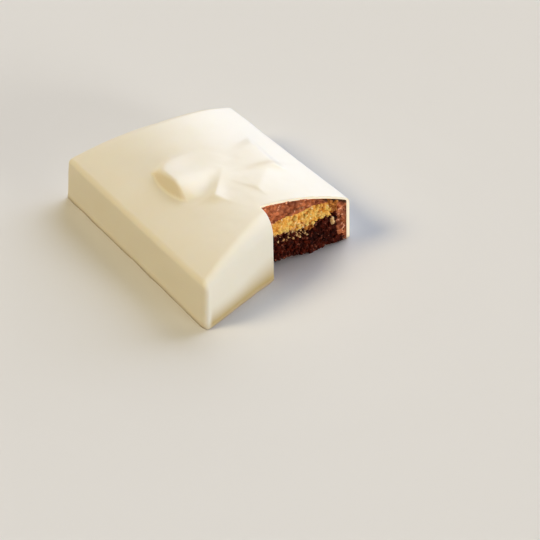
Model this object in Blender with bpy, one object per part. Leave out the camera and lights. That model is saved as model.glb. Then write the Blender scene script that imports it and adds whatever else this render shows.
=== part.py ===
"""White-glazed entremet in the form of a domed parcel with a moulded bow, one corner cut away.

Metres, +Z up, the floor at z = 0, +Y along the cake, the recessed end with the cut corner at -Y.
Nodes: glaze (coat), mousse (body), crunch_insert and brownie_base (layers that run through it).
"""
import bpy
import numpy as np

# ---------------------------------------------------------------- named sizes
HALF_WIDTH = 0.0652        # across, X, at the top edge
DRAFT = 0.0019             # how far the walls lean out from there to the floor
FRONT_END = -0.08822       # Y of the two corners at the recessed end, before they are rounded
BACK_END = 0.08790         # Y of the two corners at the other end
FRONT_RECESS = 0.0217      # how far the -Y end is drawn in at mid-width
BACK_RECESS = 0.0065       # the same at the +Y end
EDGE_HEIGHT = 0.0322       # where the dome meets the long sides
CREST_HEIGHT = 0.0465      # the dome along the middle
SIDE_ROUND = 0.0030        # top edge radius along the long sides
FRONT_ROUND_MID, FRONT_ROUND_CORNER = 0.0125, 0.0061
BACK_ROUND_MID, BACK_ROUND_CORNER = 0.0119, 0.0055
GLAZE = 0.0022             # coat thickness on the walls
TOP_SHARE = 0.6            # its thickness on top, as a share of that
HEM = 0.0007               # the coat ends this far above the floor
GAP = 0.0005               # clearance between touching layers
INSERT_MARGIN = 0.0148     # outline of the coat to the crunchy insert
BROWNIE_MARGIN = 0.0103    # outline of the coat to the top edge of the brownie
BROWNIE_FOOT = 0.0058      # how far the brownie spreads from there to its foot
BROWNIE_TOP = 0.0203
INSERT_TOP = 0.0318
BOW_DRAW_IN = 0.0035       # how far the surfaces under the coat keep back from the bow's sides
BOW_MIDDLE = (0.0004, -0.0025)    # of the bow, in plan
CUT_CORNER = (-0.0011, -0.0505)   # inner corner of the piece taken out
CUT_TURN = np.radians(-5.2)       # the knife's line against the width


def smooth(t):
    """0 to 1 with flat ends."""
    t = np.clip(t, 0.0, 1.0)
    return t * t * (3.0 - 2.0 * t)


def value_noise(u, v, seed):
    """Smooth noise in -1..1 on a seeded lattice with unit cells."""
    lattice = np.random.default_rng(seed).uniform(-1.0, 1.0, (97, 97))
    i, j = np.floor(u).astype(int), np.floor(v).astype(int)
    a, b = smooth(u - i), smooth(v - j)
    i, j, k, m = i % 97, j % 97, (i + 1) % 97, (j + 1) % 97
    low = lattice[i, j] * (1 - a) + lattice[k, j] * a
    high = lattice[i, m] * (1 - a) + lattice[k, m] * a
    return low * (1 - b) + high * b


# ---------------------------------------------------------------- the bow
def soft_least(heights, k):
    """The lowest of several surfaces, its meeting lines rounded over about k."""
    heights = np.stack(np.broadcast_arrays(*heights)) / -k
    most = heights.max(0)
    return -k * (most + np.log(np.exp(heights - most).sum(0)))


def soft_most(heights, k):
    """The highest of several surfaces and 0, its meeting lines rounded over about k."""
    heights = np.stack(np.broadcast_arrays(0.0, *heights)) / k
    most = heights.max(0)
    return k * (most + np.log(np.exp(heights - most).sum(0)))


def bank(x, y, turn, reach, slope):
    """A slope that rises towards the direction turn, in degrees, from a line reach mm behind the middle."""
    turn = np.radians(turn)
    return slope * (np.cos(turn) * x + np.sin(turn) * y + reach)


def left_loop(x, y):
    """The tall loop: it rises to its outer end, which drops steeply; its back edge is a round arc."""
    along = np.clip(y, -14.0, 24.0)
    foot = -38.8 + 0.009 * (along - 7.0) ** 2
    edge = np.maximum(-34.4 - 0.04 * along, foot + 1.0)
    end = (8.0 - 0.27 * (edge + 28.0) - 0.18 * along) * (x - foot) / (edge - foot)
    top = 8.0 - 0.27 * (x + 28.0) - 0.18 * y + 0.004 * ((x + 24.0) ** 2 + (y - 2.0) ** 2 - 120.0)
    front = 0.45 * (y + 17.6 - 0.60 * (x + 28.0) - 0.002 * np.maximum(x + 28.0, 0.0) ** 2)
    back = np.hypot(x + 16.4, y - 2.2)
    return soft_least((top, end, front, bank(x, y, 55.0, 30.0, 1.66), 1.03 * (32.0 - back)), 2.1)


def right_loop(x, y):
    """The flat loop: a low plateau that rises to the right."""
    top = 0.95 + 0.124 * (x - 28.0) - 0.038 * (y - 8.0)
    return soft_least((top, bank(x, y, 72.0, 0.40, 0.80), bank(x, y, 177.2, 42.8, 0.58),
                       bank(x, y, -57.4, 4.30, 0.42)), 0.60)


def left_tail(x, y):
    """A ridge that widens from the knot to a three-cornered end."""
    ridge = 2.42 + 0.098 * ((-12.0 - x) * 0.687 + (-13.0 - y) * 0.726)
    return soft_least((ridge, bank(x, y, -54.7, -1.3, 0.46), bank(x, y, 155.7, -0.4, 0.36),
                       bank(x, y, 54.0, 33.6, 0.62), bank(x, y, -119.7, 3.72, 1.0)), 0.40)


def right_tail(x, y):
    """A strip that lifts out of the dome towards its front corner."""
    top = -1.60 + 0.072 * (x - 2.0) - 0.073 * (y + 8.0)
    return soft_least((top, bank(x, y, 21.8, 3.13, 0.80), bank(x, y, 127.3, 30.8, 0.30),
                       bank(x, y, -101.3, -0.98, 1.0)), 0.38)


def bow(x, y):
    """Height of the moulded bow above the dome: two loops, two tails and a knot, the highest one wins.

    Each is the lowest of a tilted top and its banks. It is worked out in mm.
    """
    x, y = (x - BOW_MIDDLE[0]) * 1000.0, (y - BOW_MIDDLE[1]) * 1000.0
    knot = 0.65 - 0.010 * (x + 4.5) ** 2 - 0.017 * (y + 4.2) ** 2
    return 0.001 * soft_most((left_loop(x, y), right_loop(x, y), left_tail(x, y), right_tail(x, y), knot), 0.902)


def bow_under(x, y):
    """The bow as the surfaces below the coat carry it, drawn in all round."""
    turns = np.radians(np.arange(0, 360, 45))
    return np.min([bow(x + BOW_DRAW_IN * np.cos(a), y + BOW_DRAW_IN * np.sin(a)) for a in turns], axis=0)


# ---------------------------------------------------------------- the outer form
def ends(x, inset):
    """Front and back lines of the plan outline at x, drawn in by inset."""
    reach = np.sqrt((x / HALF_WIDTH) ** 2 + 0.0015)
    front = FRONT_END + FRONT_RECESS * (1 - reach) + 1.06 * inset
    back = BACK_END - BACK_RECESS * (1 - (x / HALF_WIDTH) ** 2) - inset
    return front, back


def lean(points):
    """The body's points with the walls leaning out towards the foot, which leaves the middle as it is."""
    rise = 1.0 - points[..., 2] / EDGE_HEIGHT
    out = 0.5 * DRAFT * (rise + np.sqrt(rise ** 2 + 0.02))
    near = np.clip((np.abs(points[..., :2]) - 0.0575) / 0.006, 0.0, 1.0)
    plan = points[..., :2] + np.sign(points[..., :2]) * near * out[..., None]
    return np.concatenate([plan, points[..., 2:]], -1)


def spaced(edges, middle):
    """Positions 0..1: close together at both ends, by rule in between."""
    edges = np.array(edges)
    return np.concatenate([edges, middle, 1 - edges[::-1]])


def form(inset, fine):
    """Grid of points of the domed body drawn in by inset: x, y in plan, z on top."""
    if fine:
        u = spaced([0, .004, .013, .026, .045, .08, .13], np.linspace(.17, .83, 41))
        v = spaced([0, .004, .013, .026, .045, .075, .12, .18, .25], np.linspace(.28, .72, 38))
    else:
        u = spaced([0, .007, .022, .045, .09], np.linspace(.15, .85, 21))
        v = spaced([0, .007, .022, .045, .08, .13, .20], np.linspace(.28, .74, 20))
    side = max(SIDE_ROUND - inset, 0.0012)
    half = HALF_WIDTH - inset
    x, v = np.meshgrid(half * (2 * u - 1), v)
    t = np.abs(x) / HALF_WIDTH
    front_r = np.maximum(FRONT_ROUND_MID + (FRONT_ROUND_CORNER - FRONT_ROUND_MID) * t - inset, 0.002)
    back_r = np.maximum(BACK_ROUND_MID + (BACK_ROUND_CORNER - BACK_ROUND_MID) * t - inset, 0.002)
    front, back = ends(x, inset)
    y = front + v * (back - front)
    to_end = np.minimum(y - front, back - y)
    end_r = np.where(v < 0.5, front_r, back_r)
    # corner squares pressed into quarter ellipses, so that the grid's rim is the rounded outline
    p = np.clip(1 - (half - np.abs(x)) / side, 0, 1)
    q = np.clip(1 - to_end / end_r, 0, 1)
    p, q = p * np.sqrt(1 - q * q / 2), q * np.sqrt(1 - p * p / 2)
    x = np.where(p > 0, np.sign(x) * (half - side + side * p), x)
    front, back = ends(x, inset)
    near = end_r * (1 - q)
    y = np.where(q > 0, np.where(v < 0.5, front + near, back - near), y)
    fall = np.minimum(np.hypot(p, q), 1.0)
    radius = (side * p ** 2 + end_r * q ** 2) / np.maximum(p ** 2 + q ** 2, 1e-9)
    drop = TOP_SHARE * min(inset, GLAZE) + max(inset - GLAZE, 0.0)
    dome = EDGE_HEIGHT - drop + (CREST_HEIGHT - EDGE_HEIGHT) * (1 - (x / HALF_WIDTH) ** 2)
    # parallel surfaces take the bow at the same spots, so that they never cross
    same_x = x if fine else x * (HALF_WIDTH - GLAZE) / half
    front, back = ends(same_x, 0.0 if fine else GLAZE)
    same_y = y if fine else front + v * (back - front)
    return x, y, dome - radius * (1 - np.sqrt(1 - fall ** 2)) + (bow if fine else bow_under)(same_x, same_y)


def add_mesh(name, points, faces):
    mesh = bpy.data.meshes.new(name)
    mesh.from_pydata([tuple(p) for p in points], [], [tuple(int(i) for i in f) for f in faces])
    mesh.validate()
    obj = bpy.data.objects.new(name, mesh)
    bpy.context.scene.collection.objects.link(obj)
    return obj


def rim_of(rows, columns):
    """Indices round the edge of a grid, anticlockwise seen from above."""
    index = np.arange(rows * columns).reshape(rows, columns)
    return np.concatenate([index[0, :-1], index[:-1, -1], index[-1, :0:-1], index[:0:-1, 0]])


def domed_solid(name, inset, bottom, fine=False):
    """The domed body as one closed mesh: top grid, walls and a flat bottom."""
    x, y, z = form(inset, fine)
    rows, columns = x.shape
    index = np.arange(rows * columns).reshape(rows, columns)
    faces = np.stack([index[:-1, :-1], index[:-1, 1:], index[1:, 1:], index[1:, :-1]], -1)
    faces = faces.reshape(-1, 4).tolist()
    rim = rim_of(rows, columns)
    top = np.stack([x.ravel(), y.ravel(), z.ravel()], -1)
    points, last = [top], rim
    for level in (0.45, 0.0):
        ring = top[rim].copy()
        ring[:, 2] = bottom + (ring[:, 2] - bottom) * level
        new = np.arange(len(rim)) + sum(len(p) for p in points)
        points.append(ring)
        for a in range(len(rim)):
            b = (a + 1) % len(rim)
            faces.append([new[a], new[b], last[b], last[a]])
        last = new
    faces.append(last[::-1].tolist())
    return add_mesh(name, lean(np.concatenate(points)), faces)


# ---------------------------------------------------------------- the layers inside
def brownie_top(x):
    """Level in the middle, rising towards the sides."""
    return BROWNIE_TOP + 0.0045 * smooth((np.abs(x) - 0.034) / 0.016)


def insert_top(x):
    """Sags in the middle, rises towards the sides and drops again at its own edge."""
    rise = 0.0026 * smooth((np.abs(x) - 0.020) / 0.022) - 0.0030 * smooth((np.abs(x) - 0.046) / 0.008)
    return INSERT_TOP + rise - 0.0024 * smooth((0.018 - np.abs(x)) / 0.012)


def plan_of(margin):
    """A grid over the cake's plan drawn in by margin, its four corners rounded."""
    half = HALF_WIDTH - margin
    x, v = np.meshgrid(half * np.linspace(-1, 1, 23), np.linspace(0, 1, 12))
    front, back = ends(x, margin)
    draw = 0.006 * (1 - np.sqrt(1 - smooth((np.abs(x) / half - 0.9) / 0.1) ** 2 * 0.75))
    front, back = front + draw, back - draw
    return x, front + v * (back - front)


def slab(name, margin, floor, ceiling, grow=0.0, spread=0.0):
    """A layer with the cake's outline drawn in by margin, between two heights that follow x.

    Its foot spreads out by spread, so its sides slope.
    """
    x, y = plan_of(margin - grow)
    foot_x, foot_y = plan_of(margin - grow - spread)
    rows, columns = x.shape
    count = rows * columns
    index = np.arange(count).reshape(rows, columns)
    up = np.stack([index[:-1, :-1], index[:-1, 1:], index[1:, 1:], index[1:, :-1]], -1).reshape(-1, 4)
    rim = rim_of(rows, columns)
    faces = up.tolist() + (up[:, ::-1] + count).tolist()
    faces += [[rim[a] + count, rim[(a + 1) % len(rim)] + count, rim[(a + 1) % len(rim)], rim[a]] for a in range(len(rim))]
    top = np.stack([x, y, ceiling(x) + grow], -1).reshape(-1, 3)
    base = np.stack([foot_x, foot_y, floor(foot_x) - grow], -1).reshape(-1, 3)
    return add_mesh(name, np.concatenate([top, base]), faces)


# ---------------------------------------------------------------- the knife's work
def knife(name, roughness, cell, seed, bulge=0.0):
    """A block over the corner taken out; its two inner faces are torn by roughness (metres)."""
    steps = 0.0017
    q = np.concatenate([[0.070], np.arange(0.0231, 0.0, -steps)])
    p = np.concatenate([[0.0], np.arange(steps, 0.0725, steps), [0.100]])
    path = np.concatenate([np.stack([0 * q, q], -1), np.stack([p, 0 * p], -1)])
    normal = np.concatenate([np.stack([0 * q - 1, 0 * q], -1), np.stack([0 * p, 0 * p - 1], -1)])
    normal[len(q)] = (-0.7071, -0.7071)
    run = np.concatenate([-q, p])
    heights = np.concatenate([[-0.006], np.arange(0.0, 0.0525, steps) + 0.0007, [0.070]])
    s, z = np.meshgrid(run, heights)
    deep = roughness * value_noise(s / cell + 31, z / cell + 11, seed)
    deep += 0.5 * roughness * value_noise(s / cell * 2.3 + 17, z / cell * 2.3 + 5, seed + 1)
    deep -= bulge * np.exp(-((s - 0.036) / 0.012) ** 2) * smooth(1 - z / 0.012)
    inside = (np.abs(s) < 0.0730) & (z > -0.001) & (z < 0.060)
    deep = np.where(inside, deep, 0.0)
    # towards the body is -normal of the block; block points lie on the removed side
    local = path[None] + normal[None] * deep[..., None]
    e1 = np.array([np.cos(CUT_TURN), np.sin(CUT_TURN)])
    e2 = np.array([np.sin(CUT_TURN), -np.cos(CUT_TURN)])
    far = np.array([[0.100, 0.070]])
    rings = []
    for k, height in enumerate(heights):
        ring = np.concatenate([local[k], far])
        plan = np.array(CUT_CORNER) + ring[:, :1] * e1 + ring[:, 1:] * e2
        rings.append(np.concatenate([plan, np.full((len(plan), 1), height)], 1))
    n = len(rings[0])
    faces = [list(range(n)), [n * (len(heights) - 1) + i for i in range(n)][::-1]]
    for k in range(len(heights) - 1):
        for a in range(n):
            b = (a + 1) % n
            faces.append([k * n + a, (k + 1) * n + a, (k + 1) * n + b, k * n + b])
    obj = add_mesh(name, np.concatenate(rings), faces)
    obj.hide_render = True
    obj.display_type = "WIRE"
    return obj


def cut(obj, cutter):
    """Takes the cutter out of the object and applies it."""
    modifier = obj.modifiers.new("cut", "BOOLEAN")
    modifier.operation, modifier.solver, modifier.object = "DIFFERENCE", "EXACT", cutter
    graph = bpy.context.evaluated_depsgraph_get()
    mesh = bpy.data.meshes.new_from_object(obj.evaluated_get(graph))
    obj.modifiers.clear()
    old, obj.data = obj.data, mesh
    bpy.data.meshes.remove(old)
    return obj


def drop(*objects):
    for obj in objects:
        bpy.data.objects.remove(obj, do_unlink=True)


def outward(obj):
    """Faces turned to point out, judged by the signed volume."""
    obj.data.calc_loop_triangles()
    points = np.empty(len(obj.data.vertices) * 3)
    obj.data.vertices.foreach_get("co", points)
    points = points.reshape(-1, 3)
    tris = np.empty(len(obj.data.loop_triangles) * 3, np.int64)
    obj.data.loop_triangles.foreach_get("vertices", tris)
    if np.linalg.det(points[tris.reshape(-1, 3)]).sum() < 0:
        obj.data.flip_normals()
    return obj


def paint(obj, colour, roughness):
    """Gives the object a material of its own."""
    material = bpy.data.materials.new(obj.name)
    material.use_nodes = True
    shader = material.node_tree.nodes["Principled BSDF"]
    shader.inputs["Base Color"].default_value = (*colour, 1.0)
    shader.inputs["Roughness"].default_value = roughness
    shader.inputs["Metallic"].default_value = 0.0
    obj.data.materials.clear()
    obj.data.materials.append(material)


for old in list(bpy.data.objects):
    bpy.data.objects.remove(old, do_unlink=True)


def floor_level(x):
    return 0.0 * x


def insert_floor(x):
    return brownie_top(x) + GAP


glaze = outward(domed_solid("glaze", 0.0, HEM, fine=True))
hollow = outward(domed_solid("glaze_hollow", GLAZE, -0.004))
mousse = outward(domed_solid("mousse", GLAZE + GAP, 0.0))
insert = outward(slab("crunch_insert", INSERT_MARGIN, insert_floor, insert_top))
brownie = outward(slab("brownie_base", BROWNIE_MARGIN, floor_level, brownie_top, spread=BROWNIE_FOOT))
insert_room = outward(slab("insert_room", INSERT_MARGIN, insert_floor, insert_top, grow=GAP))
brownie_room = outward(slab("brownie_room", BROWNIE_MARGIN, floor_level, brownie_top, GAP, BROWNIE_FOOT))

cut(glaze, hollow)
cut(mousse, insert_room)
cut(mousse, brownie_room)
drop(hollow, insert_room, brownie_room)

for obj, tear, cell, seed, bulge, colour, shine in (
    (glaze, 0.00012, 0.0090, 3, 0.0, (0.88, 0.82, 0.70), 0.42),
    (mousse, 0.00075, 0.0042, 11, 0.0, (0.40, 0.11, 0.045), 0.55),
    (insert, 0.00110, 0.0036, 23, 0.0, (0.80, 0.46, 0.11), 0.45),
    (brownie, 0.00120, 0.0046, 37, 0.0022, (0.055, 0.012, 0.007), 0.62),
):
    blade = outward(knife("knife_" + obj.name, tear, cell, seed, bulge))
    cut(obj, blade)
    drop(blade)
    paint(obj, colour, shine)
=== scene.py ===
"""Looks of a white-glazed entremet: a domed parcel of mousse with a moulded bow and one corner cut out.

Every new piece is a surface worked out from named sizes. Metres, +Z up, the CAD frame.
"""
import bpy
import numpy as np
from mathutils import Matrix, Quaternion, Vector


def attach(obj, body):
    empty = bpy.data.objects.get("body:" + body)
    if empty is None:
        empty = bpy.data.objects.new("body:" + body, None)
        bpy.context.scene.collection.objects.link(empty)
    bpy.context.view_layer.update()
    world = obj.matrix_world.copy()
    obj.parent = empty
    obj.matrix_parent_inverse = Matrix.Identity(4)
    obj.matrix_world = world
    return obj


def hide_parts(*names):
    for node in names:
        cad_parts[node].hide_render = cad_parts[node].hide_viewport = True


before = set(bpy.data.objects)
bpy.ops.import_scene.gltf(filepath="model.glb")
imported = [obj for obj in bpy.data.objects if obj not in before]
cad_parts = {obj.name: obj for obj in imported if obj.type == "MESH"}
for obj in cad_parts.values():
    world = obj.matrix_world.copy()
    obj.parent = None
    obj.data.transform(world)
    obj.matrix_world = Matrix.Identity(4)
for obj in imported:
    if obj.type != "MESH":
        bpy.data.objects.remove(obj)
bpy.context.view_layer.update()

# ---------------------------------------------------------------- named sizes (as in the CAD)
HALF_WIDTH, DRAFT = 0.0652, 0.0019         # at the top edge, and how far the walls lean out to the floor
LEAN_FROM, LEAN_OVER = 0.0575, 0.0060      # how far out the lean sets in, and over what length
LEAN_SOFT = 0.02                           # rounds the lean's start at the top edge
FRONT_END, BACK_END = -0.08822, 0.08790    # at the sides; in the middle the recesses draw them in
FRONT_RECESS, BACK_RECESS = 0.0217, 0.0065
FRONT_TIP, FRONT_SLANT = 0.0015, 1.06      # bluntness of the front line's V, and its walls' slant to the side
EDGE_HEIGHT, CREST_HEIGHT = 0.0322, 0.0465
SIDE_ROUND = 0.0030
FRONT_ROUND_MID, FRONT_ROUND_CORNER = 0.0125, 0.0061
BACK_ROUND_MID, BACK_ROUND_CORNER = 0.0119, 0.0055
LEAST_SIDE_ROUND, LEAST_END_ROUND = 0.0012, 0.0020
GLAZE, HEM = 0.0022, 0.0007                # the coat's thickness on the walls, and its height off the floor
TOP_SHARE = 0.6                            # its thickness on top, as a share of that on the walls
BROWNIE_TOP, INSERT_TOP = 0.0203, 0.0318
BOW_MIDDLE = np.array((0.0004, -0.0025))
CUT_CORNER = np.array((-0.0011, -0.0505))
CUT_TURN = np.radians(-5.2)
CUT_SLOPE = np.tan(CUT_TURN)
ALONG = np.array([np.cos(CUT_TURN), np.sin(CUT_TURN)])      # long cut face, towards the right side
TO_FRONT = np.array([np.sin(CUT_TURN), -np.cos(CUT_TURN)])  # short cut face, towards the front

# ---------------------------------------------------------------- named sizes of the dressed pieces
TOUCH = 0.00005                            # keeps faces that touch from lying in one plane
COAT_UNDER = GLAZE + TOUCH                 # the mousse lies against the coat
INSERT_MARGIN, BROWNIE_MARGIN = 0.0148, 0.0040
BROWNIE_RISE = 0.0045                      # at the sides
INSERT_RISE, INSERT_SAG, INSERT_DROP = 0.0026, 0.0024, 0.0030      # at the sides, middle and edge
BROWNIE_STOP, BROWNIE_SPREAD, BROWNIE_TOE = 0.0562, 0.0018, 0.0042  # its end on the cut, and further down
MOUSSE_BACK = 0.0022                       # the mousse stands back behind the layers and under the coat
CRUNCH_PROUD = 0.0002                      # the golden layer stands out
SIDE_SHADE, FRONT_SHADE_LEFT, FRONT_SHADE_RIGHT = 0.0050, 0.0150, 0.0220  # heights of the painted shade band at the coat's foot
BOW_DRAW_IN = 0.003                        # the coat's inner skin has the bow drawn in this far
PITCH = 0.00035                            # grid step on the torn faces
CORNER_TURN = 0.0012                       # the torn faces turn into each other this far round the corner
TEAR_FADE = 0.001                          # the tear dies out this far before the walls
HEM_WAVE, HEM_WAVE_LENGTH = 0.0004, 0.011
TOP_WAVE, TOP_WAVE_LENGTH = 0.00018, 0.021
WALL_WAVE, WALL_WAVE_LENGTH = 0.00022, 0.027
WALL_STEPS = 12
FOOT_OUT, FOOT_AT, FOOT_REACH = 0.00035, 0.0020, 0.0016     # the slight foot at the hem
RIM_DROP, RIM_REACH = 0.00045, 0.0007      # the knife turns the rim down
RIM_SHARES = (0.12, 0.3, 0.5, 0.7, 0.88)   # points across the rim, as shares of its thickness

# the photograph's camera, solved from its perspective
CAMERA_AT = Vector((-0.46886, -0.73786, 0.5980))
CAMERA_TO = Vector((0.00226, -0.05785, 0.0))
CAMERA_LENS, CAMERA_SENSOR, CAMERA_ROLL = 105.43, 36.0, 0.01506

# ---------------------------------------------------------------- numbers
MM = 1000.0                                # millimetres in a metre
LATTICE = 127                              # cells before the noise repeats
OCTAVE_STEP, OCTAVE_SHIFT = 2.03, 7.3      # keep the octaves from lining up
CREASE_STEEP = 1.6                         # how steeply a lump rises from its creases


def smooth(t):
    """0 to 1 with flat ends."""
    t = np.clip(t, 0.0, 1.0)
    return t * t * (3.0 - 2.0 * t)


def ease(value, start, end):
    """0 up to start and 1 from end on, smooth in between; start may be the larger of the two."""
    return smooth((value - start) / (end - start))


def mound(value, middle, reach):
    """1 in the middle, falling like a bell to about a third at reach."""
    return np.exp(-((value - middle) / reach) ** 2)


def noise(u, v, seed):
    """Smooth noise in -1..1 on a seeded lattice with unit cells."""
    lattice = np.random.default_rng(seed).uniform(-1.0, 1.0, (LATTICE, LATTICE))
    i, j = np.floor(u).astype(int), np.floor(v).astype(int)
    a, b = smooth(u - i), smooth(v - j)
    i, j, k, m = i % LATTICE, j % LATTICE, (i + 1) % LATTICE, (j + 1) % LATTICE
    low = lattice[i, j] * (1 - a) + lattice[k, j] * a
    high = lattice[i, m] * (1 - a) + lattice[k, m] * a
    return low * (1 - b) + high * b


def waves(u, v, size, seed, octaves=3, shift=(0, 0)):
    """Noise added up at doubled frequencies with halved strength; size is that of the first waves."""
    u, v = u / size[0] + shift[0], v / size[1] + shift[1]
    return sum(0.5 ** k * noise(u * OCTAVE_STEP ** k + OCTAVE_SHIFT * k, v * OCTAVE_STEP ** k, seed + k)
               for k in range(octaves))


def lumps(u, v, size, seed, shift=(0, 0)):
    """Rounded cells of this size: 1 near each seeded cell centre, falling to 0 at the creases."""
    u, v = u / size[0] + shift[0], v / size[1] + shift[1]
    jitter = np.random.default_rng(seed).uniform(0.1, 0.9, (LATTICE, LATTICE, 2))
    i, j = np.floor(u).astype(int), np.floor(v).astype(int)
    near, second = np.full(u.shape, 9.0), np.full(u.shape, 9.0)
    for di in (-1, 0, 1):
        for dj in (-1, 0, 1):
            spot = jitter[(i + di) % LATTICE, (j + dj) % LATTICE]
            far = np.hypot(i + di + spot[..., 0] - u, j + dj + spot[..., 1] - v)
            second = np.minimum(second, np.maximum(near, far))
            near = np.minimum(near, far)
    return smooth((second - near) * CREASE_STEEP)


# ---------------------------------------------------------------- the bow, as in the CAD
def soft_least(heights, blend):
    """The lowest of several surfaces, its meeting lines rounded over about blend."""
    heights = np.stack(np.broadcast_arrays(*heights)) / -blend
    most = heights.max(0)
    return -blend * (most + np.log(np.exp(heights - most).sum(0)))


def soft_most(heights, blend):
    """The highest of several surfaces and 0, its meeting lines rounded over about blend."""
    heights = np.stack(np.broadcast_arrays(0.0, *heights)) / blend
    most = heights.max(0)
    return blend * (most + np.log(np.exp(heights - most).sum(0)))


def bank(x, y, turn, reach, slope):
    """A slope that rises towards the direction turn, in degrees, from a line reach mm behind the middle."""
    turn = np.radians(turn)
    return slope * (np.cos(turn) * x + np.sin(turn) * y + reach)


def left_loop(x, y):
    """The tall loop: it rises to its outer end, which drops steeply; its back edge is a round arc."""
    along = np.clip(y, -14.0, 24.0)
    foot = -38.8 + 0.009 * (along - 7.0) ** 2
    edge = np.maximum(-34.4 - 0.04 * along, foot + 1.0)
    end = (8.0 - 0.27 * (edge + 28.0) - 0.18 * along) * (x - foot) / (edge - foot)
    top = 8.0 - 0.27 * (x + 28.0) - 0.18 * y + 0.004 * ((x + 24.0) ** 2 + (y - 2.0) ** 2 - 120.0)
    front = 0.45 * (y + 17.6 - 0.60 * (x + 28.0) - 0.002 * np.maximum(x + 28.0, 0.0) ** 2)
    arc = 1.03 * (32.0 - np.hypot(x + 16.4, y - 2.2))
    left = bank(x, y, turn=55.0, reach=30.0, slope=1.66)
    return soft_least((top, end, front, left, arc), blend=2.1)


def right_loop(x, y):
    """The flat loop: a low plateau that rises to the right."""
    top = 0.95 + 0.124 * (x - 28.0) - 0.038 * (y - 8.0)
    front = bank(x, y, turn=72.0, reach=0.40, slope=0.80)
    right = bank(x, y, turn=177.2, reach=42.8, slope=0.58)
    back = bank(x, y, turn=-57.4, reach=4.30, slope=0.42)
    return soft_least((top, front, right, back), blend=0.60)


def left_tail(x, y):
    """A ridge that widens from the knot to a three-cornered end."""
    ridge = 2.42 + 0.098 * ((-12.0 - x) * 0.687 + (-13.0 - y) * 0.726)
    banks = [bank(x, y, turn, reach, slope) for turn, reach, slope in
             ((-54.7, -1.3, 0.46), (155.7, -0.4, 0.36), (54.0, 33.6, 0.62), (-119.7, 3.72, 1.0))]
    return soft_least((ridge, *banks), blend=0.40)


def right_tail(x, y):
    """A strip that lifts out of the dome towards its front corner."""
    top = -1.60 + 0.072 * (x - 2.0) - 0.073 * (y + 8.0)
    banks = [bank(x, y, turn, reach, slope) for turn, reach, slope in
             ((21.8, 3.13, 0.80), (127.3, 30.8, 0.30), (-101.3, -0.98, 1.0))]
    return soft_least((top, *banks), blend=0.38)


def bow(x, y):
    """Height of the moulded bow above the dome: two loops, two tails and a knot, the highest one wins.

    Each is the lowest of a tilted top and its banks. It is worked out in mm.
    """
    x, y = (x - BOW_MIDDLE[0]) * MM, (y - BOW_MIDDLE[1]) * MM
    knot = 0.65 - 0.010 * (x + 4.5) ** 2 - 0.017 * (y + 4.2) ** 2
    forms = (left_loop(x, y), right_loop(x, y), left_tail(x, y), right_tail(x, y), knot)
    return soft_most(forms, blend=0.902) / MM


def bow_under(x, y):
    """The bow drawn in sideways, so that the coat keeps its thickness round the bow's steep sides."""
    reach = ((0, 0), (BOW_DRAW_IN, 0), (-BOW_DRAW_IN, 0), (0, BOW_DRAW_IN), (0, -BOW_DRAW_IN))
    return np.min([bow(x + dx, y + dy) for dx, dy in reach], axis=0)


# ---------------------------------------------------------------- the body, as in the CAD
def ends(x, inset):
    """Front and back lines of the plan at x, drawn in by inset: a blunt V in front, a shallow arc behind."""
    reach = np.sqrt((x / HALF_WIDTH) ** 2 + FRONT_TIP)
    front = FRONT_END + FRONT_RECESS * (1 - reach) + FRONT_SLANT * inset
    back = BACK_END - BACK_RECESS * (1 - (x / HALF_WIDTH) ** 2) - inset
    return front, back


def lean(points):
    """The walls lean out towards the foot: DRAFT at the floor, nothing on top.

    The middle of the plan stays as it is.
    """
    rise = 1.0 - points[..., 2] / EDGE_HEIGHT
    out = 0.5 * DRAFT * (rise + np.sqrt(rise ** 2 + LEAN_SOFT))
    near = np.clip((np.abs(points[..., :2]) - LEAN_FROM) / LEAN_OVER, 0.0, 1.0)
    plan = points[..., :2] + np.sign(points[..., :2]) * near * out[..., None]
    return np.concatenate([plan, points[..., 2:]], -1)


def rounding(x, y, inset):
    """How far a point is into the side's and the end's rounding (0..1 each), both radii, and which end."""
    side = max(SIDE_ROUND - inset, LEAST_SIDE_ROUND)
    t = np.abs(x) / HALF_WIDTH
    front, back = ends(x, inset)
    front_round = FRONT_ROUND_MID + (FRONT_ROUND_CORNER - FRONT_ROUND_MID) * t - inset
    back_round = BACK_ROUND_MID + (BACK_ROUND_CORNER - BACK_ROUND_MID) * t - inset
    at_front = y - front < back - y
    end = np.maximum(np.where(at_front, front_round, back_round), LEAST_END_ROUND)
    p = np.clip(1 - (HALF_WIDTH - inset - np.abs(x)) / side, 0, 1)
    q = np.clip(1 - np.minimum(y - front, back - y) / end, 0, 1)
    return p, q, side, end, at_front


def top_height(x, y, inset):
    """Height of the domed top: the crest falls with x squared to the sides, quarter circles round the rim."""
    p, q, side, end, _ = rounding(x, y, inset)
    fall = np.minimum(np.hypot(p, q), 1.0)
    radius = (side * p ** 2 + end * q ** 2) / np.maximum(p ** 2 + q ** 2, 1e-9)
    edge = EDGE_HEIGHT - TOP_SHARE * inset
    dome = edge + (CREST_HEIGHT - EDGE_HEIGHT) * (1 - (x / HALF_WIDTH) ** 2)
    return dome - radius * (1 - np.sqrt(1 - fall ** 2)) + (bow(x, y) if inset == 0 else bow_under(x, y))


def press_corners(x, y, inset):
    """The plan's corner squares pressed into quarter ellipses, so that the rim is the rounded outline."""
    p, q, side, end, at_front = rounding(x, y, inset)
    p, q = p * np.sqrt(1 - q * q / 2), q * np.sqrt(1 - p * p / 2)
    half = HALF_WIDTH - inset
    x = np.where(p > 0, np.sign(x) * (half - side + side * p), x)
    front, back = ends(x, inset)
    return x, np.where(q > 0, np.where(at_front, front + end * (1 - q), back - end * (1 - q)), y)


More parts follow.
